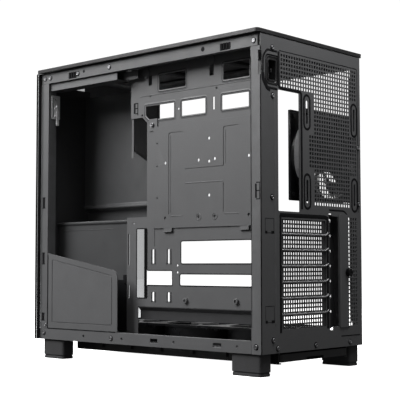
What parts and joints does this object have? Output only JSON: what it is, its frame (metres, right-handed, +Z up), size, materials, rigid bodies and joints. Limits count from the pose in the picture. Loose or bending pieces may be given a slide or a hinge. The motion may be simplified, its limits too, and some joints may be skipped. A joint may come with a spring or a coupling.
{
  "type": "desktop computer tower case",
  "caption": "Two-chamber tower case with a glass front, both side panels off, floor and rear fans, slot covers, drive plate and slide-out dust filter.",
  "frame": {"origin": "middle of the footprint, on the desk under the feet", "axes": "+Z up, front towards -Y, rear wall towards +Y, open cable side towards +X, main chamber towards -X"},
  "size_m": [0.2328, 0.44, 0.4335],
  "materials": {
    "chassis_steel": "fine matt powder coat, dark grey",
    "inner_steel": "fine matt powder coat, near black",
    "black_plastic": "fine grained moulding, black",
    "fan_plastic": "satin moulding, black",
    "pale_plastic": "plain pale grey moulding",
    "dust_mesh": "black frame with a fine woven nylon mesh",
    "foot_rubber": "matt, dark grey",
    "front_glass": "lightly tinted toughened glass",
    "plated_port": "plated, semi gloss",
    "circuit_board": "solder mask, very dark green",
    "black_screw": "black zinc, semi gloss"
  },
  "bodies": {
    "chassis": {"floor_plate": "chassis_steel", "roof_plate": "chassis_steel", "top_rail_cable_side": "chassis_steel", "top_rail_main_side": "chassis_steel", "front_post": "chassis_steel", "rear_panel": "chassis_steel", "slot_cover_1": "chassis_steel", "slot_cover_2": "chassis_steel", "slot_cover_3": "chassis_steel", "slot_cover_4": "chassis_steel", "slot_cover_5": "chassis_steel", "slot_cover_6": "chassis_steel", "slot_cover_7": "chassis_steel", "slot_ledge": "chassis_steel", "slot_lock_plate": "chassis_steel", "motherboard_tray": "chassis_steel", "tray_gusset": "chassis_steel", "drive_plate": "chassis_steel", "bay_cover": "chassis_steel", "front_corner_bracket": "chassis_steel", "port_channel": "chassis_steel", "front_wall": "inner_steel", "inlet_bracket": "inner_steel", "slot_thumbscrew": "black_screw", "drive_plate_screw": "black_screw", "power_inlet": "black_plastic", "bay_upper_wall": "black_plastic", "bay_lower_wall": "black_plastic", "top_panel": "black_plastic", "audio_jack": "black_plastic", "filter_runner_cable_side": "black_plastic", "filter_runner_main_side": "black_plastic", "front_corner_clip": "pale_plastic", "top_dust_filter": "dust_mesh", "front_glass": "front_glass", "port_board": "circuit_board", "usb_a_port_1": "plated_port", "usb_a_port_2": "plated_port", "usb_c_port": "plated_port", "rear_fan_frame": "fan_plastic", "floor_fan_1_frame": "fan_plastic", "floor_fan_2_frame": "fan_plastic", "floor_fan_3_frame": "fan_plastic", "foot_rear_cable_side": "foot_rubber", "foot_front_cable_side": "foot_rubber", "foot_rear_main_side": "foot_rubber", "foot_front_main_side": "foot_rubber"},
    "rear_fan_rotor": {"rear_fan_rotor": "fan_plastic"},
    "floor_fan_1_rotor": {"floor_fan_1_rotor": "fan_plastic"},
    "floor_fan_2_rotor": {"floor_fan_2_rotor": "fan_plastic"},
    "floor_fan_3_rotor": {"floor_fan_3_rotor": "fan_plastic"},
    "bottom_dust_filter": {"bottom_dust_filter": "dust_mesh"},
    "power_button": {"power_button": "black_plastic"},
    "reset_button": {"reset_button": "black_plastic"}
  },
  "joints": [
    {"name": "rear_fan_spin", "type": "hinge", "parent": "chassis", "child": "rear_fan_rotor", "pos_m": [-0.04, 0.1982, 0.283], "axis": [0, 1, 0], "continuous": true},
    {"name": "floor_fan_1_spin", "type": "hinge", "parent": "chassis", "child": "floor_fan_1_rotor", "pos_m": [-0.022, 0.122, 0.0411], "axis": [0, 0, 1], "continuous": true},
    {"name": "floor_fan_2_spin", "type": "hinge", "parent": "chassis", "child": "floor_fan_2_rotor", "pos_m": [-0.022, 0.0015, 0.0411], "axis": [0, 0, 1], "continuous": true},
    {"name": "floor_fan_3_spin", "type": "hinge", "parent": "chassis", "child": "floor_fan_3_rotor", "pos_m": [-0.022, -0.119, 0.0411], "axis": [0, 0, 1], "continuous": true},
    {"name": "bottom_filter_slide", "type": "slide", "parent": "chassis", "child": "bottom_dust_filter", "axis": [0, 1, 0], "range_m": [0, 0.38]},
    {"name": "power_button_press", "type": "slide", "parent": "chassis", "child": "power_button", "axis": [0, 0, -1], "range_m": [0, 0.0015], "stiffness_N_per_m": 700},
    {"name": "reset_button_press", "type": "slide", "parent": "chassis", "child": "reset_button", "axis": [0, 0, -1], "range_m": [0, 0.0012], "stiffness_N_per_m": 500}
  ]
}
